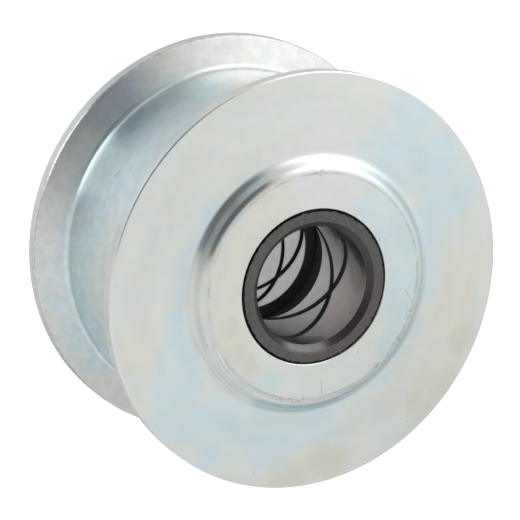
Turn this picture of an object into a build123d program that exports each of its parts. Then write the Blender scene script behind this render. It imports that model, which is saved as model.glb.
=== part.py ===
from build123d import *
from math import cos, radians, sin, tan
import os

os.makedirs("parts", exist_ok=True)

# Chain sheave
# A turned steel roller with two flanges for a leaf chain, and a grooved steel bush pressed into
# each end. Millimetres, standing on the face of its rear hub, +Z up along the turning axis,
# origin at the centre of that face. The front of the sheave is its upper end.

# Driving dimensions of the body
flange_diameter = 113.0
flange_span = 56.0            # over the outer faces of both flanges
rim_thickness = 4.0           # a flange at its outer edge
flank_angle = 18.0            # how far the inner side of a flange leans back from square
rim_chamfer = 0.3
drum_diameter = 95.5          # what the chain runs on
corner_radius = 1.8           # between the drum and a flank
hub_face_diameter = 64.0      # at the sharp corner, before rounding
hub_rise = 3.5                # hub face above the flange
hub_draft = 32.0
hub_edge_radius = 2.4
hub_root_radius = 2.5
seat_chamfer = 0.2            # leads the bush into the body

# Driving dimensions of a bush
bush_diameter = 42.0
bore_diameter = 32.0
grease_gap = 10.0             # left free between the two bushes
mouth_chamfer = 1.6           # where the pin enters
outer_chamfer = 0.4
lead_depth = 2.0              # taper on the end that is pressed in first, taken off the radius
lead_length = 3.0
groove_width = 1.5            # half-round grease groove, half as deep as it is wide
groove_step = 0.05            # the second groove is cut this much shallower than the first
groove_lead = 47.0            # height gained in one whole turn
groove_spread = 134.0         # angle between the two grooves where they leave the inner end
groove_land = 4.0             # bore left plain behind the mouth, so that the grease stays in
front_crossing_angle = -22.0  # where the two grooves cross, counted from +X
rear_crossing_angle = -37.0

# Sizes worked out from them
overall_height = flange_span + 2 * hub_rise
middle_height = overall_height / 2
rim_radius = flange_diameter / 2
drum_radius = drum_diameter / 2
hub_radius = hub_face_diameter / 2
hub_root = hub_radius + hub_rise * tan(radians(hub_draft))
bush_radius = bush_diameter / 2
bore_radius = bore_diameter / 2
bush_length = (overall_height - grease_gap) / 2

# Heights above or below the middle plane
flange_face = flange_span / 2
hub_face = overall_height / 2
rim_inner_edge = flange_face - rim_thickness
flank_foot = rim_inner_edge - (rim_radius - drum_radius) * tan(radians(flank_angle))


def rings(part, radius):
    """Circular edges of a part that have the given radius."""
    return part.edges().filter_by(GeomType.CIRCLE).filter_by(lambda edge: abs(edge.radius - radius) < 0.001)


# Body: one turned piece, drawn as the upper half of its section and mirrored about the middle
section_plane = Plane(origin=(0, 0, middle_height), x_dir=(1, 0, 0), z_dir=(0, -1, 0))
with BuildPart() as sheave_body:
    with BuildSketch(section_plane):
        with BuildLine():
            Polyline(
                (bush_radius, 0),
                (bush_radius, hub_face),
                (hub_radius, hub_face),
                (hub_root, flange_face),
                (rim_radius, flange_face),
                (rim_radius, rim_inner_edge),
                (drum_radius, flank_foot),
                (drum_radius, 0),
            )
            mirror(about=Plane.XZ)
        make_face()
    revolve(axis=Axis.Z)
    fillet(rings(sheave_body, drum_radius), corner_radius)
    fillet(rings(sheave_body, hub_root), hub_root_radius)
    fillet(rings(sheave_body, hub_radius), hub_edge_radius)
    chamfer(rings(sheave_body, rim_radius), rim_chamfer)
    chamfer(rings(sheave_body, bush_radius), seat_chamfer)
sheave_body.part.label = "sheave_body"


def pressed_bush(seat):
    """One bush. Its seat plane lies on its inner end, looks out along it and has its x direction
    through the place where the two grease grooves cross.

    The half-round grooves start open at the inner end, wind up the bore in opposite directions
    and end blind below the mouth.
    """
    section = Plane(origin=seat.origin, x_dir=-seat.x_dir, z_dir=seat.y_dir)
    with BuildPart() as bush:
        with BuildSketch(section):
            with BuildLine():
                Polyline(
                    (bore_radius, 0),
                    (bush_radius - lead_depth, 0),
                    (bush_radius, lead_length),
                    (bush_radius, bush_length - outer_chamfer),
                    (bush_radius - outer_chamfer, bush_length),
                    (bore_radius + mouth_chamfer, bush_length),
                    (bore_radius, bush_length - mouth_chamfer),
                    close=True,
                )
            make_face()
        revolve(axis=Axis(seat.origin, seat.z_dir))
        for turn, tool_radius in ((1, bore_radius), (-1, bore_radius - groove_step)):
            start_plane = seat.rotated((0, 0, -turn * groove_spread / 2))
            with BuildLine() as winding:
                Helix(groove_lead, bush_length - groove_land, tool_radius, lefthand=turn < 0)
            groove = start_plane.from_local_coords(winding.line)
            with BuildSketch(Plane(origin=groove @ 0, z_dir=groove % 0)):
                Circle(groove_width / 2)
            sweep(path=groove, mode=Mode.SUBTRACT)
    return bush


def crossing_direction(angle):
    """Direction, level with the floor, that is turned by an angle from +X."""
    return Vector(cos(radians(angle)), sin(radians(angle)), 0)


# Front and rear bush: the same piece, turned end for end, flush with the hub face at each end
front_seat = Plane(
    origin=(0, 0, overall_height - bush_length),
    x_dir=crossing_direction(front_crossing_angle),
    z_dir=(0, 0, 1),
)
rear_seat = Plane(
    origin=(0, 0, bush_length),
    x_dir=crossing_direction(rear_crossing_angle),
    z_dir=(0, 0, -1),
)
front_bush = pressed_bush(front_seat)
rear_bush = pressed_bush(rear_seat)
front_bush.part.label = "front_bush"
rear_bush.part.label = "rear_bush"

export_step(sheave_body.part, "parts/sheave_body.step")
export_step(front_bush.part, "parts/front_bush.step")
export_step(rear_bush.part, "parts/rear_bush.step")

print(f"overall height {overall_height:.1f}, bush length {bush_length:.1f}, drum {drum_diameter:.1f}")
for piece in (sheave_body, front_bush, rear_bush):
    print(f"{piece.part.label}: volume {piece.part.volume / 1000:.1f} cm3")
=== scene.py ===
# %% [markdown]
# This is a chain sheave: a turned steel roller with two flanges, which a leaf chain runs over. Two dark
# bushes are pressed into its middle, and in them it turns on a pin of the machine.
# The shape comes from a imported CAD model. The script loads that model first, so that every piece made
# later takes its place and size from it instead of being fitted by eye.

import bpy
import numpy as np
from mathutils import Matrix, Vector


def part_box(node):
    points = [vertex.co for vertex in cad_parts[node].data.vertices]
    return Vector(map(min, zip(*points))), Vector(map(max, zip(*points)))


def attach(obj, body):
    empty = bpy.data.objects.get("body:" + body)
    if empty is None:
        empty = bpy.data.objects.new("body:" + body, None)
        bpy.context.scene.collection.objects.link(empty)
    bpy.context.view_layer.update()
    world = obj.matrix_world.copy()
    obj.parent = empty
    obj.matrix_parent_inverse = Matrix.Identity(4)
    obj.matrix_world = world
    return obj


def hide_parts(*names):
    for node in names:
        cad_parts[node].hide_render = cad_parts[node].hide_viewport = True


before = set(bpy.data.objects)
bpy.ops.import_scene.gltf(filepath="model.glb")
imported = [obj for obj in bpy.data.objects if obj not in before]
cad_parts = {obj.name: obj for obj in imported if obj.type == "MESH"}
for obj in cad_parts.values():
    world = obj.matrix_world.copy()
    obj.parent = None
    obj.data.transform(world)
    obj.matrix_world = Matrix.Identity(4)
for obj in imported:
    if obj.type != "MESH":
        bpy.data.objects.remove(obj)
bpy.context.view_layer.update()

# %% [markdown]
# A turned part is known from a few radii and heights. The ones that the model's boxes show are read
# from it, and the others are the values of its drawing. Blender's unit is the metre, so a size in
# millimetres is written as a number times MM.

# %% Sizes of the sheave
MM = 0.001
body_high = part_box("sheave_body")[1]
bush_low, bush_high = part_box("front_bush")
overall_height = body_high.z
middle_height = overall_height / 2
rim_radius = body_high.x
bush_radius = bush_high.x
bush_length = bush_high.z - bush_low.z

flange_face = 28 * MM          # outer side of a flange, above the middle of the sheave
rim_thickness = 4 * MM
flank_angle = np.radians(18)   # lean of a flange's inner side
rim_chamfer = 0.3 * MM
drum_radius = 47.75 * MM
corner_radius = 1.8 * MM       # between the drum and a flank
hub_radius = 32.0 * MM         # at the sharp corner, before rounding
hub_draft = np.radians(32)
hub_edge_radius = 2.4 * MM
hub_root_radius = 2.5 * MM
seat_chamfer = 0.2 * MM
broken_edge = 0.08 * MM        # how far a file takes the sharpness off an edge

bore_radius = 16 * MM
mouth_chamfer = 1.6 * MM
outer_chamfer = 0.4 * MM
lead_depth = 2.0 * MM          # taper on the end of a bush that goes in first
lead_length = 3.0 * MM
groove_radius = 0.75 * MM
groove_lead = 47 * MM          # height gained in a whole turn
groove_spread = np.radians(134)
groove_land = 4.0 * MM         # plain bore between a groove's end and the mouth
crossing_angles = {"front_bush": np.radians(-22), "rear_bush": np.radians(-37)}

print(f"rim radius {rim_radius / MM:.1f} mm, bush {bush_radius / MM:.1f} by {bush_length / MM:.1f} mm")

# %% [markdown]
# A lathe cuts a part whose every section through the axis is the same, so one outline is enough to
# describe it. The outline is drawn as a list of corners, as on a workshop drawing, and each corner may
# be rounded. The straight runs get points that crowd together at their ends: smooth shading averages
# the directions of neighbouring faces, and this keeps a flat face flat up to its rounded edge.

# %% Outline of a turned part
def straight_run(start, end, step):
    """Points from start to end, with start and without end.

    How far along each one lies is half of one minus the cosine of an angle that goes evenly from
    nought to half a turn, so they crowd at both ends.
    """
    pieces = max(4, int(np.ceil(np.linalg.norm(end - start) / step)))
    share = (1 - np.cos(np.linspace(0, np.pi, pieces, endpoint=False))) / 2
    return start + share[:, None] * (end - start)


def turned_outline(corners, closing_rows=0, step=1.5 * MM, arc_step=np.radians(6)):
    """Closed outline through corners, each one a radius, a height, a rounding and a finish.

    A rounding leaves the run before it at a distance of its radius times the tangent of half the
    angle turned. A point on it lies the radius times the sine of the angle turned so far along that
    run, and the radius times one minus its cosine to the side. The last run, back to the first
    corner, gets closing_rows even steps where that isn't nought. Returns the points, and for each
    the finish of the stretch that starts there.
    """
    place = np.array([corner[:2] for corner in corners], float)
    rounding = np.array([corner[2] for corner in corners], float)
    before = place - np.roll(place, 1, axis=0)
    before /= np.linalg.norm(before, axis=1)[:, None]
    after = np.roll(before, -1, axis=0)
    turn = np.arctan2(before[:, 0] * after[:, 1] - before[:, 1] * after[:, 0], (before * after).sum(1))
    cut = rounding * np.tan(abs(turn) / 2)
    arc_start = place - before * cut[:, None]
    arc_end = place + after * cut[:, None]
    points, finishes = [], []
    for k, corner in enumerate(corners):
        aside = np.sign(turn[k]) * np.array((-before[k, 1], before[k, 0]))
        turned = np.linspace(0, abs(turn[k]), max(2, int(np.ceil(abs(turn[k]) / arc_step))), endpoint=False)
        arc = arc_start[k] + rounding[k] * (
            np.sin(turned)[:, None] * before[k] + (1 - np.cos(turned))[:, None] * aside
        )
        goal = arc_start[(k + 1) % len(corners)]
        run = straight_run(arc_end[k], goal, step)
        if closing_rows and k == len(corners) - 1:
            run = np.linspace(arc_end[k], goal, closing_rows, endpoint=False)
        piece = [arc, run] if rounding[k] > 0 else [run]
        points += piece
        finishes += [corner[3]] * sum(len(part) for part in piece)
    return np.concatenate(points), np.array(finishes)


def nearness(points, corners, reach):
    """One at the given corners, falling off as a bell curve of the distance over the reach."""
    gap = np.linalg.norm(points[:, None] - np.array(corners)[None], axis=2)
    return np.exp(-((gap / reach) ** 2)).max(axis=1)


def length_along(points):
    """How far each point lies from the first one, measured along the outline, in millimetres."""
    return np.concatenate(((0,), np.cumsum(np.linalg.norm(np.diff(points, axis=0), axis=1)))) / MM

# %% [markdown]
# The outline becomes a surface when it is carried round the axis. Every point of that surface is found
# from two numbers, its place on the outline and its angle, so numpy works out the whole grid at once.
# The grid closes on itself both ways, like a ring, so it has no seam, no pole and no open edge.
# Beside the shape each point carries a few marks, such as how near a sharp edge it is. The finishes
# read them, and so wear and turning lines follow the surface.

# %% Surface of a turned part
def ring_grid(radius, height, columns):
    """Places of a grid: radius times cosine of the angle, radius times sine, and height."""
    angle = np.linspace(0, 2 * np.pi, columns, endpoint=False)
    return np.stack(np.broadcast_arrays(radius * np.cos(angle), radius * np.sin(angle), height), axis=2)


def add_object(name, data):
    """New object in the scene."""
    thing = bpy.data.objects.new(name, data)
    bpy.context.scene.collection.objects.link(thing)
    return thing


def ring_mesh(name, places, finishes, materials, marks):
    """Mesh from a grid of places that closes both ways, counted along the outline and then round.

    A face joins a point, the next one round, the one after that along the outline and the next one
    along. marks are named values of the grid's points.
    """
    rows, columns = places.shape[:2]
    number = np.arange(rows * columns).reshape(rows, columns)
    right = np.roll(number, -1, axis=1)
    faces = np.stack((number, right, np.roll(right, -1, axis=0), np.roll(number, -1, axis=0)), axis=2)
    mesh = bpy.data.meshes.new(name)
    mesh.vertices.add(number.size)
    mesh.vertices.foreach_set("co", places.reshape(-1))
    mesh.loops.add(faces.size)
    mesh.loops.foreach_set("vertex_index", faces.reshape(-1))
    mesh.polygons.add(number.size)
    mesh.polygons.foreach_set("loop_start", np.arange(0, faces.size, 4))
    for material in materials:
        mesh.materials.append(material)
    mesh.polygons.foreach_set("material_index", np.repeat(finishes, columns))
    for title, values in marks.items():
        mark = mesh.attributes.new(title, "FLOAT", "POINT")
        values = np.broadcast_to(values, (rows, columns)).reshape(-1)
        mark.data.foreach_set("value", values.astype(np.float32))
    mesh.update(calc_edges=True)
    mesh.validate()
    mesh.shade_smooth()
    print(f"{name}: {rows} by {columns} points, {2 * number.size} triangles")
    return add_object(name, mesh)

# %% [markdown]
# A finish in Blender is a small network of nodes. A few helpers keep it short to write: one adds a node
# and plugs in values or other nodes, others do the same for sums and for colours. Most of them return
# what the next node needs.

# %% Helpers for node networks
def put(tree, kind, inputs=(), **settings):
    """Adds a node. inputs pairs a socket's name or number with a value or with another node's output."""
    node = tree.nodes.new("ShaderNode" + kind)
    for name, value in settings.items():
        setattr(node, name, value)
    for socket, value in dict(inputs).items():
        if isinstance(value, bpy.types.NodeSocket):
            tree.links.new(value, node.inputs[socket])
        else:
            node.inputs[socket].default_value = value
    return node


def calculate(tree, operation, *values):
    """Output of a Math node."""
    return put(tree, "Math", enumerate(values), operation=operation).outputs[0]


def vector(tree, operation, *values, **named):
    """Output of a Vector Math node: a number for a length, a distance and a dot product."""
    inputs = {**dict(enumerate(values)), **named}
    output = "Value" if operation in ("LENGTH", "DISTANCE", "DOT_PRODUCT") else "Vector"
    return put(tree, "VectorMath", inputs, operation=operation).outputs[output]


def one_by_one(operation):
    """Function that takes any number of values and does the operation on them from first to last."""

    def join(tree, value, *others):
        for other in others:
            value = calculate(tree, operation, value, other)
        return value

    return join


product, quotient = one_by_one("MULTIPLY"), one_by_one("DIVIDE")
total, difference = one_by_one("ADD"), one_by_one("SUBTRACT")
highest = one_by_one("MAXIMUM")


def fade(tree, value, nought_at, one_at):
    """Nought at one value, one at another, and an S-shaped rise between them."""
    inputs = {"Value": value, "From Min": nought_at, "From Max": one_at}
    return put(tree, "MapRange", inputs, interpolation_type="SMOOTHSTEP").outputs["Result"]


def between(tree, share, low, high):
    """Low where the share is nought, high where it is one, and straight between them."""
    return put(tree, "MapRange", {"Value": share, "To Min": low, "To Max": high}).outputs["Result"]


def blend_colours(tree, share, first, second, blend_type="MIX"):
    """Output of a Mix node for colours."""
    first, second = ((*colour, 1) if isinstance(colour, tuple) else colour for colour in (first, second))
    inputs = {0: share, 6: first, 7: second}
    return put(tree, "Mix", inputs, data_type="RGBA", blend_type=blend_type).outputs[2]


def lay_over(tree, colour, *layers):
    """A colour with layers on it. Each is a few shares, whose product says how much of it shows, and a
    colour of its own."""
    for *shares, tint in layers:
        colour = blend_colours(tree, product(tree, *shares), colour, tint)
    return colour


def object_place(tree):
    """Where a point of the piece lies, in metres from the middle of the rear hub's face."""
    return put(tree, "TexCoord").outputs["Object"]


def distance_from_axis(tree, place):
    """Length of the place with its height taken out."""
    return vector(tree, "LENGTH", vector(tree, "MULTIPLY", place, (1, 1, 0)))


def noise(tree, scale, detail, output="Fac"):
    """Noise over the piece, from nought to one, or three noises as a colour."""
    inputs = {"Vector": object_place(tree), "Scale": scale, "Detail": detail}
    return put(tree, "TexNoise", inputs).outputs[output]


def mark_value(tree, title):
    """Value that a point carries under a title."""
    return put(tree, "Attribute", attribute_name=title).outputs["Fac"]

# %% [markdown]
# An effect that several finishes share is built once, as a node group with its own inputs, and each
# finish then uses it with its own numbers. The first one is what every turned surface shows: the tool
# leaves a fine spiral, whose lines look like rings. They are made by noise that changes fast along the
# outline and very slowly round the axis.

# %% Group: turning lines
def new_group(name, inputs, output):
    """Empty node group that puts out one number. inputs pairs the names of its sockets with their usual
    values, which are tuples for vectors."""
    tree = bpy.data.node_groups.new(name, "ShaderNodeTree")
    for title, usual in inputs.items():
        kind = "NodeSocketVector" if isinstance(usual, tuple) else "NodeSocketFloat"
        tree.interface.new_socket(title, in_out="INPUT", socket_type=kind).default_value = usual
    tree.interface.new_socket(output, in_out="OUTPUT", socket_type="NodeSocketFloat")
    return tree, tree.nodes.new("NodeGroupInput").outputs, tree.nodes.new("NodeGroupOutput").inputs[0]


def use_group(tree, group, **inputs):
    """Adds a group to a tree, with its own values."""
    inputs = {title.capitalize(): value for title, value in inputs.items()}
    return put(tree, "Group", inputs, node_tree=group).outputs[0]


def turning_lines_group():
    """Noise at a place whose first part is the length along the outline over the feed, and whose
    others are the cosine and sine of the angle times the wander."""
    tree, given, result = new_group("turning lines", {"Along": 0, "Feed": 0.3, "Wander": 2}, "Height")
    direction = vector(tree, "NORMALIZE", vector(tree, "MULTIPLY", object_place(tree), (1, 1, 0)))
    across = vector(tree, "SCALE", direction, Scale=given["Wander"])
    parts = put(tree, "SeparateXYZ", {0: across}).outputs
    first = quotient(tree, given["Along"], given["Feed"])
    place = put(tree, "CombineXYZ", {"X": first, "Y": parts["X"], "Z": parts["Y"]}).outputs[0]
    lines = put(tree, "TexNoise", {"Vector": place, "Scale": 1.0, "Detail": 2.0}).outputs["Fac"]
    tree.links.new(lines, result)
    return tree


turning_lines = turning_lines_group()

# %% [markdown]
# The other shared effects are soft clouds, which make a bath's film or a smear of oil uneven, edges
# rubbed bright, and small specks. Noise breaks up each of them, because wear and dirt never follow a
# clean line.

# %% Groups: clouds, worn edges and specks
def clouds_group():
    """Noise with clouds of a given size in millimetres, pulled apart round its middle value."""
    tree, given, result = new_group("clouds", {"Size": 10, "Seed": 0, "Softness": 0.15}, "Mask")
    inputs = {
        "Vector": object_place(tree),
        "W": given["Seed"],
        "Scale": quotient(tree, 1 / MM, given["Size"]),
        "Detail": 4.0,
    }
    shapes = put(tree, "TexNoise", inputs, noise_dimensions="4D").outputs["Fac"]
    low = difference(tree, 0.5, given["Softness"])
    high = total(tree, 0.5, given["Softness"])
    tree.links.new(fade(tree, shapes, low, high), result)
    return tree


def worn_edges_group():
    """The mark for edges plus noise, where that passes one minus the amount."""
    tree, given, result = new_group("worn edges", {"Edge": 0, "Size": 1, "Amount": 0.3}, "Mask")
    scale = quotient(tree, 1 / MM, given["Size"])
    centred = difference(tree, noise(tree, scale, 3.0), 0.5)
    rough_edge = total(tree, given["Edge"], centred)
    start = difference(tree, 1, given["Amount"])
    tree.links.new(fade(tree, rough_edge, start, total(tree, start, 0.3)), result)
    return tree


def specks_group():
    """Spots round scattered points, one for each cell, of which only a share is kept."""
    tree, given, result = new_group("specks", {"Spacing": 4, "Size": 0.3, "Share": 0.3}, "Mask")
    scale = quotient(tree, 1 / MM, given["Spacing"])
    cells = put(tree, "TexVoronoi", {"Vector": object_place(tree), "Scale": scale}).outputs
    away = product(tree, cells["Distance"], given["Spacing"])
    spot = fade(tree, away, given["Size"], product(tree, given["Size"], 0.4))
    chance = put(tree, "SeparateColor", {0: cells["Color"]}).outputs[0]
    kept = calculate(tree, "LESS_THAN", chance, given["Share"])
    tree.links.new(product(tree, spot, kept), result)
    return tree


clouds, worn_edges, specks = clouds_group(), worn_edges_group(), specks_group()


def cloudy(tree, size, seed, softness):
    """Mask of soft clouds."""
    return use_group(tree, clouds, size=size, seed=seed, softness=softness)

# %% [markdown]
# Two more shared effects are for stains. One tells how far a place is from the middle of a patch, and
# patches that lie close together flow into one, as drops do. The other makes a length ragged. A place
# may also be pushed to and fro, so that a border drawn with it wanders.

# %% Groups: patches and ragged borders
def pushed_place(tree, size, distance):
    """Place moved to and fro by noise with waves of a size, by up to a distance each way."""
    centred = vector(tree, "SUBTRACT", noise(tree, 1 / size, 2.0, "Color"), (0.5, 0.5, 0.5))
    push = vector(tree, "SCALE", centred, Scale=2 * distance)
    return vector(tree, "ADD", object_place(tree), push)


def patch_group():
    """Distance to a patch's middle over the patch's size, or the nearest so far where that is less.

    A smooth minimum chooses between the two, so that the border of joined patches has no corners.
    """
    inputs = {"Place": (0, 0, 0), "Middle": (0, 0, 0), "Size": 1, "Nearest": 9}
    tree, given, result = new_group("patch", inputs, "Nearest")
    away = vector(tree, "DISTANCE", given["Place"], given["Middle"])
    in_sizes = quotient(tree, away, given["Size"])
    tree.links.new(calculate(tree, "SMOOTH_MIN", given["Nearest"], in_sizes, 0.35), result)
    return tree


def ragged_group():
    """Value plus an amount of noise that goes both ways."""
    tree, given, result = new_group("ragged", {"Value": 0, "Scale": 1 / MM, "Amount": 1}, "Value")
    centred = difference(tree, noise(tree, given["Scale"], 3.0), 0.5)
    push = product(tree, centred, given["Amount"])
    tree.links.new(total(tree, given["Value"], push), result)
    return tree


def patch_place(angle, radius, height):
    """Place at an angle round the axis in degrees, and a radius and a height in millimetres."""
    angle = np.radians(angle)
    return Vector((radius * np.cos(angle), radius * np.sin(angle), height)) * MM


def inside_patches(tree, place, patches, gone_at=1.3, full_at=0.5):
    """One well inside any patch, fading to nought outside it.

    A patch is an angle, a radius, a height and a size, and distances are counted in that size.
    """
    nearest = 9.0              # farther than any patch reaches
    for *middle, size in patches:
        inputs = {"place": place, "middle": patch_place(*middle), "size": size * MM, "nearest": nearest}
        nearest = use_group(tree, patch, **inputs)
    return fade(tree, nearest, gone_at, full_at)


patch, ragged = patch_group(), ragged_group()
print("groups:", ", ".join(group.name for group in bpy.data.node_groups))

# %% [markdown]
# The body is plated with zinc and then dipped in a clear passivating bath. The film that the bath
# leaves is thinner than a wavelength of light, so it tints the metal: straw where it is thin, blue
# where it is thicker, with soft borders where the bath ran off. The tinted places are listed. Some
# darker patches on the rims are painted shade. Rings on the hub's rounded edge and foot, which change
# with the distance from the axis, are painted highlight and painted shade.

# %% Places of the film, and of painted shade and highlight
def patches_round(angles, radius, height, size):
    """Patches of one size in a row round the axis."""
    return [(angle, radius, height, size) for angle in angles]


straw_places = [
    (102, 38, 60, 5), (200, 49, 60, 7), (272, 54, 60, 8), (330, 53, 60, 12), (350, 45, 60, 9),
    (4, 47, 60, 8), (130, 26, 63, 8), (158, 27, 63, 7), (186, 27, 63, 9), (212, 26, 63, 7),
    (200, 33, 61, 5),
]
deep_straw_places = [
    (272, 54, 60, 6), (284, 52, 60, 6), (318, 53, 60, 6), (329, 54, 60, 6), (342, 53, 60, 5),
    (190, 33.6, 60.6, 3.5), (203, 33.4, 60.8, 3.5), (219, 27, 63, 4), (233, 26, 63, 3), (203, 26, 63, 3),
]
blue_on_front = [
    (32, 50, 60, 7), (30, 41, 60, 8), (46, 47, 60, 11), (62, 51, 60, 8), (60, 41, 60, 9), (21, 37, 60, 5),
    (73, 37, 60, 4), (195, 37, 60, 4), (205, 39, 60, 6), (217, 43, 60, 8), (227, 50, 60, 8),
    (240, 45, 60, 10), (262, 43, 60, 9), (281, 39, 60, 7), (244, 53, 60, 4),
] + patches_round(range(148, 190, 7), 36.2, 60, 2.6)
blue_beside_drum = [(201, 51.5, 9.5, 4), (213, 50.5, 10, 5.5), (224, 50.5, 10, 5)]
blue_on_hub = [
    (4, 26, 63, 8), (30, 27, 63, 8), (54, 26, 63, 7), (346, 27, 63, 6), (328, 28, 63, 4), (248, 28, 63, 5),
] + patches_round(range(256, 415, 14), 33.5, 60.8, 4.5) + patches_round((128, 142, 156), 33.5, 60.8, 4)
clear_places = [(80, 52, 8, 26), (96, 48, 16, 12), (168, 54, 7, 14), (90, 33, 61, 13)]
violet_on_flank = [(134, 53, 8, 10)]
film_layers = [
    (straw_places, (0.762, 0.760, 0.690)),
    (deep_straw_places, (0.708, 0.718, 0.640)),
    (blue_on_front + blue_beside_drum, (0.656, 0.770, 0.800)),
    (blue_on_hub, (0.656, 0.770, 0.790)),
    (clear_places, (0.758, 0.770, 0.768)),
    (violet_on_flank, (0.672, 0.735, 0.815)),
]
thin_film, thinner_film = (0.724, 0.770, 0.742), (0.752, 0.770, 0.726)

blue_on_drum = [
    (126, 48, 22, 17), (150, 48, 23, 19), (172, 48, 17, 16), (200, 48, 12, 14), (222, 48, 10, 12),
]
drum_blue = (0.646, 0.770, 0.812)
below_hub = patches_round((254, 264, 275, 286), 33.2, 61, 5)
beside_hub = patches_round((184, 197, 210, 223, 236), 33.2, 61, 4.6)
paler_beside_hub = patches_round((218, 230, 242), 33.2, 61, 4.6)
# Painted shade: darker, slightly blue patches on the rims at a few angles.
rim_shade_places = [(142, 56.5, 57.5, 12), (160, 56.5, 57.5, 12), (226, 56.5, 57.5, 9), (226, 56.5, 5.5, 9)]
rim_film, painted_rim_shade = (0.735, 0.755, 0.745), (0.570, 0.660, 0.670)
print(sum(len(places) for places, tint in film_layers), "patches of film")

# %% [markdown]
# The film's colours are laid over each other one by one, with borders that wander. Rings are found by
# how near a length, such as the distance from the axis, is to a given one.

# %% Colours of the film, with painted shade and highlight
def near_length(tree, value, length, gone_at, full_at):
    """One where a value is near a length, fading to nought beside it. The numbers are millimetres."""
    off = calculate(tree, "ABSOLUTE", difference(tree, value, length * MM))
    return fade(tree, off, gone_at * MM, full_at * MM)


def layered_film(tree, moved):
    """The patches of film, laid over the thin film that is everywhere."""
    uneven = cloudy(tree, 17, 2.0, 0.2)
    colour = blend_colours(tree, uneven, thin_film, thinner_film)
    layers = ((inside_patches(tree, moved, places), tint) for places, tint in film_layers)
    return lay_over(tree, colour, *layers)


def blue_drum(tree, moved, radius, height, inside):
    """Where the drum and the corner at its foot are blue."""
    drum = product(tree, fade(tree, radius, 50.5 * MM, 48.5 * MM), fade(tree, height, 11.0 * MM, 14.5 * MM))
    corner = product(tree, near_length(tree, radius, 48.9, 1.9, 0.7), 0.75)
    places = inside_patches(tree, moved, blue_on_drum, 1.35, 0.6)
    return product(tree, places, highest(tree, drum, corner), inside)


def hub_shade_and_highlight_rings(tree, radius):
    """Rings on the hub's edge and foot, each with its colour: below it a pale ring of painted highlight
    and a dark blue ring of painted shade, and beside it a band of straw film with three pale rings of
    painted highlight."""
    place = object_place(tree)
    below, beside = inside_patches(tree, place, below_hub), inside_patches(tree, place, beside_hub)
    paler = inside_patches(tree, place, paler_beside_hub)
    highlight_rings = [near_length(tree, radius, ring, 0.6, 0.1) for ring in (34.95, 33.05, 31.2)]
    # painted highlight in the pale rings, and painted shade in the dark blue ring on the foot
    return (
        (near_length(tree, radius, 31.3, 0.7, 0.3), below, (0.860, 0.875, 0.875)),
        (near_length(tree, radius, 34.1, 0.9, 0.3), below, 0.8, (0.500, 0.620, 0.665)),
        (beside, fade(tree, radius, 35.8 * MM, 35.0 * MM), (0.705, 0.722, 0.690)),
        (highest(tree, *highlight_rings), paler, (0.850, 0.890, 0.880)),
    )

# %% [markdown]
# Over all of them lie two noises, since no film is quite even. One tints the metal in small spots, and
# one darkens it a little along the turning lines. Between the flanges there is a little grime as well.

# %% The whole film
def tint_spots(tree, size, spread):
    """Three noises, one each for red, green and blue, that vary round one by a spread of their own."""
    lowest = [1 - share / 2 for share in spread]
    return vector(tree, "MULTIPLY_ADD", noise(tree, 1 / size, 3.0, "Color"), spread, lowest)


def film_colour(tree, radius, height, inside, streaks):
    """Colour of the plated metal under its film, with painted shade and highlight. inside is one between
    the flanges.
    """
    moved = pushed_place(tree, 9 * MM, 5 * MM)
    on_rim = fade(tree, radius, 55.8 * MM, 56.3 * MM)
    colour = lay_over(
        tree,
        layered_film(tree, moved),
        (blue_drum(tree, moved, radius, height, inside), drum_blue),
        *hub_shade_and_highlight_rings(tree, radius),
        (on_rim, 0.6, rim_film),
        # painted shade on the rims
        (inside_patches(tree, moved, rim_shade_places), on_rim, painted_rim_shade),
    )
    colour = blend_colours(tree, 1.0, colour, tint_spots(tree, 5 * MM, (0.13, 0.04, 0.17)), "MULTIPLY")
    inputs = {"Value": streaks, "From Min": 0.3, "From Max": 0.7, "To Min": 0.965, "To Max": 1.02}
    shade = put(tree, "MapRange", inputs).outputs["Result"]
    grime = cloudy(tree, 2.6, 7.0, 0.16)
    shade = difference(tree, shade, product(tree, grime, inside, 0.09))
    return blend_colours(tree, 1.0, colour, shade, "MULTIPLY")

# %% [markdown]
# Wear is small on this part. The edge of each hub has a fine dark line where the facing tool ran out,
# broken where it has been rubbed, with nicks beside it from knocks on the bench. A few scratches cross
# the hub, the drum and the flank. A scratch is the distance to a straight line between two points.

# %% Marks of the lathe and of use
hub_scratches = [((282, 30.2, 63), (282, 26.6, 63)), ((352, 30.4, 63), (358, 27.4, 63))]
drum_scratches = [((152.4, 47.8, 26.9), (154.6, 47.8, 25.4)), ((154.6, 47.8, 25.4), (154.4, 47.8, 27.2))]
flank_scratches = [
    ((127, 51.8, 9.0), (129.4, 54.6, 8.1)), ((131.6, 51.4, 9.2), (130.6, 53.4, 8.5)),
    ((124, 53.2, 8.6), (121.8, 54.6, 8.1)), ((146, 51.0, 9.3), (148, 53.8, 8.4)),
]
knocked_places = [(262, 31, 63, 7), (338, 31, 63, 8), (318, 31, 63, 4), (95, 31, 63, 3)]
facing_line = 30.6             # millimetres from the axis


def scratch(tree, start, end, width):
    """One on a straight line between two places, fading to nought at half the width.

    The nearest point of the line lies as far along it as the dot product of the way there with the
    line, over the line's length squared.
    """
    start, end = patch_place(*start), patch_place(*end)
    line = end - start
    way = vector(tree, "SUBTRACT", object_place(tree), start)
    along = vector(tree, "DOT_PRODUCT", way, line / line.length_squared)
    along = put(tree, "Clamp", {0: along}).outputs["Result"]
    away = vector(tree, "DISTANCE", way, vector(tree, "SCALE", line, Scale=along))
    return fade(tree, away, width / 2, width / 6)


def scratches(tree, lines, width):
    """Several scratches in one mask."""
    return highest(tree, *(scratch(tree, start, end, width) for start, end in lines))


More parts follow.
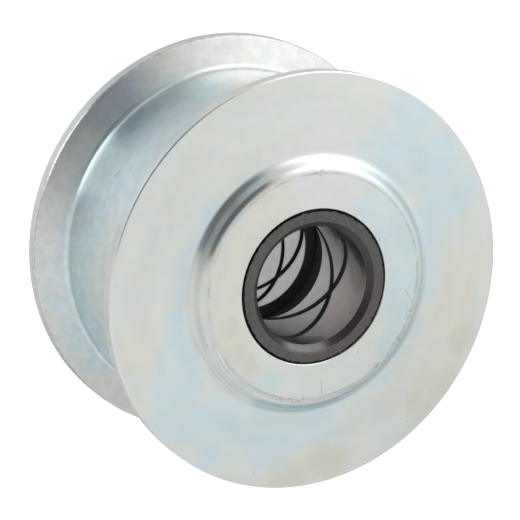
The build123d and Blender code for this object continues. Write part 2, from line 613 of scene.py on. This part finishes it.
def hub_edge_marks(tree, radius, from_middle, along):
    """Broken dark line at the edge of a hub's face, and the nicks and scratches there."""
    end_face = fade(tree, from_middle, 30.6 * MM, 31.0 * MM)
    broken = between(tree, cloudy(tree, 5, 4.0, 0.12), 0.2, 1.0)
    line = product(tree, near_length(tree, radius, facing_line, 0.5, 0.1), end_face, broken)
    dashes = use_group(tree, turning_lines, along=along, feed=0.3, wander=22.0)
    near_line = near_length(tree, radius, facing_line, 1.6, 0.4)
    knocked = inside_patches(tree, object_place(tree), knocked_places, 1.0, 0.5)
    nick = product(tree, fade(tree, dashes, 0.58, 0.66), near_line, knocked)
    return line, highest(tree, nick, product(tree, scratches(tree, hub_scratches, 0.28 * MM), 0.6))

# %% [markdown]
# Painted shade lies in rings on one side of the hub and along the inner corner of the rear rim. Old
# oil has stayed in small spots round the joint with the bush.

# %% Painted shade and old oil on the body
shade_places_on_hub = [(131, 33, 61, 6), (145, 33, 61, 7), (158, 33, 61, 5)]


def painted_shade_rings(tree, radius, height, from_middle):
    """Painted shade in rings on a hub's foot and edge, and in one on the rear rim's inner corner."""
    foot = product(tree, near_length(tree, radius, 34.1, 0.9, 0.3), 0.45)
    edge = product(tree, near_length(tree, radius, 32.1, 0.6, 0.2), 0.7)
    shaded = inside_patches(tree, object_place(tree), shade_places_on_hub, 1.2, 0.6)
    above_flange = fade(tree, from_middle, 28.0 * MM, 28.3 * MM)
    rings = product(tree, highest(tree, foot, edge), shaded, above_flange)
    rim_corner = product(tree, near_length(tree, height, 7.4, 0.3, 0.15), 0.5)
    return highest(tree, rings, product(tree, rim_corner, fade(tree, radius, 56.1 * MM, 56.25 * MM)))


def oil_stains(tree, radius, from_middle):
    """Small spots where oil has crept out of the joint with the bush."""
    reach = fade(tree, radius, 23.4 * MM, 21.0 * MM)
    spots = total(tree, noise(tree, 1.0 / MM, 3.0), product(tree, reach, 0.06))
    thick = fade(tree, spots, 0.66, 0.82)
    return product(tree, thick, reach, fade(tree, from_middle, 31 * MM, 31.3 * MM))

# %% [markdown]
# A turned surface smears a reflection across its lines and keeps it sharp along them. That is what
# Anisotropic is for, and the tangent that it needs runs round the axis: it is the cross product of the
# axis and the place.

# %% Finish: passivated zinc
def plain_start(name, constants=()):
    """New material, its tree and its shader, which gets the given constants on its sockets."""
    material = bpy.data.materials.new(name)
    material.use_nodes = True
    shader = material.node_tree.nodes["Principled BSDF"]
    for title, value in dict(constants).items():
        shader.inputs[title].default_value = value
    return material, material.node_tree, shader


def dress(tree, shader, colour, roughness, heights, depth):
    """Gives a shader its colour, its roughness and a relief of a depth in millimetres."""
    bump = put(tree, "Bump", {"Height": heights, "Strength": 1.0, "Distance": depth * MM})
    tree.links.new(colour, shader.inputs["Base Color"])
    tree.links.new(roughness, shader.inputs["Roughness"])
    tree.links.new(bump.outputs["Normal"], shader.inputs["Normal"])


def passivated_zinc():
    constants = {"Metallic": 1.0, "Anisotropic": 0.5, "Anisotropic Rotation": 0.25}
    material, tree, shader = plain_start("passivated_zinc", constants)
    place = object_place(tree)
    radius = distance_from_axis(tree, place)
    height = put(tree, "SeparateXYZ", {0: place}).outputs["Z"]
    from_middle = calculate(tree, "ABSOLUTE", difference(tree, height, middle_height))
    inside = fade(tree, from_middle, 27 * MM, 25.5 * MM)
    along = mark_value(tree, "along")
    fine = use_group(tree, turning_lines, along=along, feed=0.35, wander=3.0)
    coarse = use_group(tree, turning_lines, along=along, feed=1.1, wander=2.0)
    streaks = use_group(tree, turning_lines, along=along, feed=5.5, wander=2.0)
    line, nick = hub_edge_marks(tree, radius, from_middle, along)
    dirt = use_group(tree, specks, spacing=5.0, size=0.28, share=0.22)
    dark = highest(tree, nick, product(tree, dirt, 0.5))
    worn = use_group(tree, worn_edges, edge=mark_value(tree, "edge"), size=1.4, amount=0.25)
    bright = highest(tree, worn, scratches(tree, flank_scratches, 0.3 * MM))
    colour = lay_over(
        tree,
        film_colour(tree, radius, height, inside, streaks),
        # painted shade: rings on one side of the hub and on the rear rim's inner corner
        (painted_shade_rings(tree, radius, height, from_middle), (0.25, 0.25, 0.25)),
        (scratches(tree, drum_scratches, 0.7 * MM), 0.35, (0.25, 0.27, 0.28)),
        (line, 0.5, (0.42, 0.41, 0.39)),
        (dark, 0.7, (0.23, 0.20, 0.185)),
        (oil_stains(tree, radius, from_middle), (0.26, 0.20, 0.16)),
        (bright, 0.6, (0.82, 0.83, 0.83)),
    )
    mottled = cloudy(tree, 3, 5.0, 0.3)
    dull = product(tree, highest(tree, dark, product(tree, line, 0.4)), 0.2)
    roughness = total(tree, between(tree, mottled, 0.28, 0.32), dull)
    heights = total(tree, fine, product(tree, coarse, 1.5))
    heights = difference(tree, heights, product(tree, nick, 6))
    dress(tree, shader, colour, roughness, heights, 0.0012)
    tree.links.new(vector(tree, "CROSS_PRODUCT", (0, 0, 1), place), shader.inputs["Tangent"])
    return material


zinc = passivated_zinc()
print(zinc.name, "has", len(zinc.node_tree.nodes), "nodes")

# %% [markdown]
# Between the two bushes the body's own seat shows as a dark band. It is greasy and lies deep in shade.
# Its colour is lighter than the grease and it glows faintly: both are painted light in the narrow gap.

# %% Finish: oiled seat, with painted light
def oiled_seat_painted_light():
    # painted light: a faint warm glow and a colour lighter than the grease lift the shade in the gap
    constants = {"Emission Color": (1, 0.9, 0.72, 1), "Emission Strength": 0.006}
    material, tree, shader = plain_start("oiled_seat_painted_light", constants)
    smear = cloudy(tree, 6, 1.0, 0.2)
    colour = blend_colours(tree, smear, (0.16, 0.148, 0.13), (0.21, 0.193, 0.17))
    height = put(tree, "SeparateXYZ", {0: object_place(tree)}).outputs["Z"]
    along = quotient(tree, height, MM)
    lines = use_group(tree, turning_lines, along=along, feed=0.4, wander=2.0)
    dress(tree, shader, colour, between(tree, smear, 0.42, 0.6), lines, 0.01)
    return material


seat_wall_painted_light = oiled_seat_painted_light()

# %% [markdown]
# The bushes come dark from a phosphating bath, with crystals too small to see and a film of oil. The
# bath's grey leans to green on one side and to brown on the other, where oil has dried. Oil also stands
# as a ragged black line in the joint with the body. Such a crack swallows light. What reflects least in
# Blender is a metal with a nearly black colour, so the line is one. Corners rub bright when the bush is
# pressed in, and dust sticks to the oil. A brighter patch on one side of the mouth is a painted highlight.

# %% Finish: phosphated steel
brown_places = [(318, 20, 62, 24)]
# Painted highlight: a brighter patch on one side of the mouth.
mouth_highlight_places = [
    (256, 17.1, 62.4, 2.2), (264, 17.1, 62.4, 2.6), (272, 17.1, 62.4, 2.8), (281, 17.1, 62.4, 2.4),
]


def phosphated_steel(name, grey, brown, crystals, roughness_low, roughness_high, dust):
    """Dark crystalline film. grey and brown are its two tints, crystals says how much they sparkle, and
    dust is the share of specks kept."""
    material, tree, shader = plain_start(name)
    place = object_place(tree)
    radius = distance_from_axis(tree, place)
    smear = cloudy(tree, 4, 3.0, 0.2)
    blotch = cloudy(tree, 1.3, 6.0, 0.1)
    grain = noise(tree, 3.2 / MM, 3.0)
    lint = use_group(tree, specks, spacing=1.3, size=0.14, share=dust)
    worn = use_group(tree, worn_edges, edge=mark_value(tree, "edge"), size=0.8, amount=0.1)
    ragged_radius = use_group(tree, ragged, value=radius, scale=1.1 / MM, amount=0.9 * MM)
    oil_line = fade(tree, ragged_radius, 20.2 * MM, 20.5 * MM)
    mouth_highlight = inside_patches(tree, place, mouth_highlight_places, 1.9, 0.0)
    colour = lay_over(
        tree,
        blend_colours(tree, inside_patches(tree, place, brown_places, 1.1, 0.5), grey, brown),
        (smear, 0.25, (0.035, 0.033, 0.030)),
        (blotch, 0.3, (0.030, 0.028, 0.026)),
        (fade(tree, grain, 0.42, 0.75), crystals, (0.150, 0.150, 0.140)),
        (lint, 0.5, (0.32, 0.31, 0.29)),
        (worn, 0.4, (0.24, 0.235, 0.22)),
        (oil_line, (0.010, 0.009, 0.008)),
        # painted highlight on one side of the mouth
        (mouth_highlight, fade(tree, radius, 18.6 * MM, 17.0 * MM), (0.24, 0.24, 0.23)),
    )
    tree.links.new(oil_line, shader.inputs["Metallic"])
    lines = use_group(tree, turning_lines, along=mark_value(tree, "along"), feed=0.25, wander=2.0)
    heights = total(tree, grain, product(tree, lines, 0.8))
    roughness = between(tree, smear, roughness_high, roughness_low)
    dress(tree, shader, colour, roughness, heights, 0.010 * crystals)
    return material


phosphate = phosphated_steel(
    "phosphated_end", grey=(0.094, 0.100, 0.086), brown=(0.104, 0.086, 0.080),
    crystals=0.7, roughness_low=0.34, roughness_high=0.46, dust=0.16,
)
mouth = phosphated_steel(
    "phosphated_mouth", grey=(0.044, 0.043, 0.040), brown=(0.028, 0.012, 0.013),
    crystals=0.2, roughness_low=0.26, roughness_high=0.34, dust=0.05,
)

# %% [markdown]
# The bore is ground bright to a smooth running fit. Grease lies in the two grooves and a little beside
# them, and it takes the shine off. Each point of the bore carries its distance to the nearer groove, so
# the grease keeps to the grooves all the way. Oil has run down from the mouth in a few places, thick in
# some and thin in others.

# %% Finish: ground bore with greased grooves
oily_places = [
    (24, 16, 60.5, 4.0), (38, 16, 59, 5.5), (50, 16, 58, 7.0), (66, 16, 60, 5.0), (51, 16, 52, 4.5),
    (262, 16, 61, 4.0), (246, 16, 61, 4.0),
]
thin_oil_places = [(238, 16, 57, 5), (254, 16, 58, 5), (276, 16, 60, 5), (12, 16, 57, 6), (30, 16, 53, 6)]
warm_places = [(335, 16, 54, 11)]


def ground_bore():
    material, tree, shader = plain_start("ground_bore")
    place = object_place(tree)
    height = put(tree, "SeparateXYZ", {0: place}).outputs["Z"]
    from_middle = calculate(tree, "ABSOLUTE", difference(tree, height, middle_height))
    beside = use_group(tree, ragged, value=mark_value(tree, "groove"), scale=0.9 / MM, amount=0.3)
    grease = fade(tree, beside, 1.02, 0.84)
    smear = cloudy(tree, 7, 8.0, 0.22)
    streaky = cloudy(tree, 2.5, 9.0, 0.2)
    wavy = pushed_place(tree, 4 * MM, 4 * MM)
    warm = inside_patches(tree, place, warm_places, 1.1, 0.2)
    thin_oil = inside_patches(tree, wavy, thin_oil_places, 1.1, 0.8)
    thick_oil = inside_patches(tree, wavy, oily_places, 1.25, 0.55)
    colour = lay_over(
        tree,
        blend_colours(tree, smear, (0.60, 0.585, 0.575), (0.66, 0.655, 0.645)),
        (warm, 0.8, (0.60, 0.53, 0.53)),
        (streaky, 0.18, (0.36, 0.35, 0.33)),
        (fade(tree, beside, 1.9, 0.9), 0.25, (0.22, 0.21, 0.20)),
        (thin_oil, 0.3, (0.20, 0.18, 0.15)),
        # painted shade: the bore grows darker towards each mouth
        (fade(tree, from_middle, 23 * MM, 30 * MM), 0.3, (0.28, 0.265, 0.25)),
        (thick_oil, 0.8, (0.12, 0.11, 0.10)),
        (grease, (0.036, 0.032, 0.028)),
    )
    tree.links.new(difference(tree, 1.0, grease), shader.inputs["Metallic"])
    roughness = total(tree, between(tree, smear, 0.30, 0.38), product(tree, grease, 0.2))
    along = quotient(tree, height, MM)
    lines = use_group(tree, turning_lines, along=along, feed=0.12, wander=9.0)
    dress(tree, shader, colour, roughness, lines, 0.002)
    return material


bore_wall = ground_bore()

# %% [markdown]
# The body is one turned piece. Its outline is drawn for the upper half, from the middle of the drum to
# the seat, and mirrored for the lower half.

# %% Body
ZINC, SEAT = 0, 1
flank_foot = flange_face - rim_thickness - (rim_radius - drum_radius) * np.tan(flank_angle)
hub_face = middle_height
hub_root = hub_radius + (hub_face - flange_face) * np.tan(hub_draft)

upper_corners = [
    (drum_radius, flank_foot, corner_radius),
    (rim_radius - rim_chamfer, flange_face - rim_thickness - rim_chamfer * np.tan(flank_angle), broken_edge),
    (rim_radius, flange_face - rim_thickness + rim_chamfer, broken_edge),
    (rim_radius, flange_face - rim_chamfer, broken_edge),
    (rim_radius - rim_chamfer, flange_face, broken_edge),
    (hub_root, flange_face, hub_root_radius),
    (hub_radius, hub_face, hub_edge_radius),
    (bush_radius + seat_chamfer, hub_face, broken_edge),
    (bush_radius, hub_face - seat_chamfer, 0.0),
]
lower_corners = [(radius, -height, rounding) for radius, height, rounding in reversed(upper_corners)]
body_corners = [
    (radius, middle_height + height, rounding, ZINC)
    for radius, height, rounding in lower_corners + upper_corners
]
body_corners[-1] = (*body_corners[-1][:3], SEAT)
body_outline, body_finishes = turned_outline(body_corners)
sharp_corners = [corner[:2] for corner in body_corners if 0 < corner[2] < 1 * MM]
body = ring_mesh(
    "sheave_body_turned",
    ring_grid(body_outline[:, :1], body_outline[:, 1:], columns=320),
    body_finishes,
    [zinc, seat_wall_painted_light],
    {
        "along": length_along(body_outline)[:, None],
        "edge": nearness(body_outline, sharp_corners, 0.5 * MM)[:, None],
    },
)
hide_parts("sheave_body")
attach(body, "root")

# %% [markdown]
# Each bush is a turned ring with two grease grooves in its bore. They wind up the bore in opposite
# directions and cross, so that the pin wipes grease over all of it. A groove is a line on an unrolled
# bore, so a point's distance to it needs no search: it follows from the point's angle and height.

# %% Distance to a grease groove
groove_slope = np.arctan(groove_lead / (2 * np.pi * bore_radius))


def groove_distance(angle, height, crossing, turn):
    """How far a point of the bore is from the middle line of a groove, along the surface.

    height is counted from the inner end. The line's angle goes from half the spread before the
    crossing at the inner end, and gains a whole turn for each lead of height. Across the bore a
    point is off by the angle difference times the radius, and square to the groove by that times
    the sine of the slope. Past the groove's end it is the straight distance to that end.
    """
    reached = np.clip(height, 0, bush_length - groove_land)
    line = crossing - turn * (groove_spread / 2 - 2 * np.pi * reached / groove_lead)
    off = (angle - line + np.pi) % (2 * np.pi) - np.pi
    beyond = np.maximum(height - (bush_length - groove_land), 0)
    aside = bore_radius * np.abs(off) * np.sin(groove_slope)
    past = np.hypot(bore_radius * off, beyond)
    return np.where(beyond > 0, past, aside)

# %% [markdown]
# The grooves are pressed into the grid as a half circle, deepest on their middle line. At the inner end
# they run out through the end face, so the face's rows near the bore move outwards with them, less and
# less towards its rim.

# %% Bushes
PHOSPHATE, MOUTH, BORE = 0, 1, 2
far_from_groove = 9.0          # in millimetres, for the points that aren't in the bore


def grooved_bush(name, inner_height, upwards, columns=480, bore_rows=120):
    """One bush from the height of its inner end, pointing up or down.

    A point of the bore moves out by the square root of the groove's radius squared less its
    distance to the groove's middle line squared.
    """
    corners = [
        (bore_radius, 0, 0.0, PHOSPHATE),
        (bush_radius - lead_depth, 0, broken_edge, PHOSPHATE),
        (bush_radius, lead_length, broken_edge, PHOSPHATE),
        (bush_radius, bush_length - outer_chamfer, broken_edge, PHOSPHATE),
        (bush_radius - outer_chamfer, bush_length, broken_edge, PHOSPHATE),
        (bore_radius + mouth_chamfer, bush_length, broken_edge, MOUTH),
        (bore_radius, bush_length - mouth_chamfer, broken_edge, BORE),
    ]
    outline, finishes = turned_outline(corners, closing_rows=bore_rows)
    along = length_along(outline)[:, None]
    edge = nearness(outline, [corner[:2] for corner in corners], 0.35 * MM)[:, None]
    radius, height = outline[:, :1], outline[:, 1:]
    angle = np.linspace(0, 2 * np.pi, columns, endpoint=False)
    crossing = crossing_angles[name]
    away = np.minimum(
        groove_distance(angle, height, crossing, 1), groove_distance(angle, height, crossing, -1)
    )
    depth = np.sqrt(np.maximum(groove_radius**2 - away**2, 0))
    end_wall = bush_radius - lead_depth - bore_radius
    share = np.clip(1 - (radius - bore_radius) / end_wall, 0, 1) * (height < bush_length - groove_land / 2)
    in_bore = radius < bore_radius + 1e-3 * MM
    groove_mark = np.where(in_bore, away / MM, far_from_groove)
    heights = inner_height + (height if upwards else -height)
    places = ring_grid(radius + depth * share, heights, columns)
    if not upwards:
        places, finishes = places[::-1], np.roll(finishes[::-1], -1)
        groove_mark, along, edge = groove_mark[::-1], along[::-1], edge[::-1]
    return ring_mesh(
        name + "_grooved", places, finishes, [phosphate, mouth, bore_wall],
        {"groove": groove_mark, "along": along, "edge": edge},
    )


for name, inner_height, upwards in (
    ("front_bush", overall_height - bush_length, True),
    ("rear_bush", bush_length, False),
):
    bush = grooved_bush(name, inner_height, upwards)
    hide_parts(name)
    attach(bush, "root")

# %% [markdown]
# The sheave stands on a plain white table. The part of the table under the bore gives some light, as if
# the table were thin and lit from below, and that lights the bore from behind. Two soft spots of light
# lie on it at the camera's side, and the flange above them mirrors them. A low white panel stands there
# too, out of the picture. Only the space between the flanges faces it, and the corner between the drum
# and the rear flange mirrors it as a thin bright line.

# %% Floor and panel
def towards(azimuth, elevation=0.0):
    """Direction from an azimuth, counted from +X, and an elevation, both in degrees."""
    azimuth, elevation = np.radians(azimuth), np.radians(elevation)
    level = np.cos(elevation)
    return Vector((level * np.cos(azimuth), level * np.sin(azimuth), np.sin(elevation)))


def lit_place(tree, middle, inner, outer, strength):
    """Strength within the inner radius of a place on the table, fading to nothing at the outer one."""
    away = vector(tree, "DISTANCE", object_place(tree), middle)
    return product(tree, fade(tree, away, outer, inner), strength)


def flat_piece(name, corners, material):
    """One face through four corners."""
    mesh = bpy.data.meshes.new(name)
    mesh.from_pydata(corners, [], [(0, 1, 2, 3)])
    mesh.materials.append(material)
    piece = add_object(name, mesh)
    return piece


def pale_table(size=3.0):
    half = size / 2
    pale = (0.92, 0.92, 0.92, 1)
    constants = {"Base Color": pale, "Roughness": 0.9, "Emission Color": (1, 1, 1, 1)}
    material, tree, shader = plain_start("pale_table", constants)
    seen = product(tree, put(tree, "LightPath").outputs["Is Camera Ray"], table_seen)
    glow = total(tree, seen, table_glow)
    glow = total(tree, glow, lit_place(tree, Vector((0, 0, 0)), 14 * MM, 16 * MM, window_light))
    for azimuth in (160, 194):
        spot = lit_place(tree, towards(azimuth) * 58 * MM, 4 * MM, 34 * MM, near_side_light)
        glow = total(tree, glow, spot)
    tree.links.new(glow, shader.inputs["Emission Strength"])
    flat_piece("table", [(-half, -half, 0), (half, -half, 0), (half, half, 0), (-half, half, 0)], material)


def white_panel(azimuth, distance, half_width, low, high, strength):
    """Upright panel that faces the axis from an azimuth and a distance."""
    constants = {"Emission Color": (0.98, 0.99, 1, 1), "Emission Strength": strength}
    material, tree, shader = plain_start("white_panel", constants)
    middle, side = towards(azimuth) * distance, towards(azimuth + 90) * half_width
    foot, top = Vector((0, 0, low)), Vector((0, 0, high))
    corners = [middle - side + foot, middle + side + foot, middle + side + top, middle - side + top]
    flat_piece("panel", corners, material).visible_camera = False


window_light = 0.5             # under the bore
near_side_light = 0.13
table_glow = 0.087             # everywhere on the table
table_seen = 0.8               # more of it, but only for the camera
pale_table()
white_panel(azimuth=154.5, distance=0.14, half_width=0.037, low=0.001, high=0.044, strength=1.5)

# %% [markdown]
# The photograph is taken from above and from the left with a long lens, so the far rim looks hardly
# smaller than the near one. The camera's frame is built from three directions square to each other:
# back from the sheave, right and up.

# %% Camera
back = Vector((-0.45746, 0.22603, 0.86002)).normalized()
up = back.cross(Vector((1, 0, 0))).normalized()
right = up.cross(back)
camera = add_object("camera", bpy.data.cameras.new("camera"))
camera.data.lens = 180
camera.data.sensor_width = 36
camera.data.clip_start = 0.05
camera_place = Vector((-0.32244, 0.15825, 0.63719))
camera.matrix_world = Matrix.Translation(camera_place) @ Matrix((right, up, back)).transposed().to_4x4()
bpy.context.scene.camera = camera
above_table = np.degrees(np.arcsin(back.z))
print(f"camera {camera_place.length:.2f} m away, {above_table:.0f} degrees above the table")

# %% [markdown]
# Polished metal shows little but its surroundings, so the studio is drawn as a sky: an even pale tent,
# brighter where a lamp shines on it and darker where it is open. Each of these is a soft round area,
# full inside one angle and gone outside another.

# %% Light
world = bpy.data.worlds.new("studio")
world.use_nodes = True
bpy.context.scene.world = world
sky = world.node_tree


def soft_area(azimuth, elevation, inner, outer, strength):
    """Strength within the inner angle of a direction, fading out at the outer one."""
    direction = put(sky, "TexCoord").outputs["Generated"]
    closeness = vector(sky, "DOT_PRODUCT", direction, towards(azimuth, elevation))
    share = fade(sky, closeness, np.cos(np.radians(outer)), np.cos(np.radians(inner)))
    return product(sky, share, strength)


brightness = 0.886
for area in (
    (55, 23, 0, 38, 1.17),      # lamp above the far side
    (134, 36, 9, 50, -0.62),    # open side of the tent
    (321, 32, 9, 38, -0.36),
    (350, 50, 7, 27, 0.21),
    (147, 7, 1, 14, 0.26),
    (159, -12, 14, 45, -0.44),
    (268, 46, 3, 20, -0.23),
    (163, 86, 0, 14, 0.17),
    (123, 78, 10, 23, -0.59),   # the camera and its stand
):
    brightness = total(sky, brightness, soft_area(*area))
brightness = highest(sky, brightness, 0.0)
background = sky.nodes["Background"]
background.inputs["Color"].default_value = (1, 1, 1, 1)
sky.links.new(brightness, background.inputs["Strength"])

view = bpy.context.scene.view_settings
view.view_transform = "Standard"
view.look = "None"
view.exposure = 0
view.gamma = 1
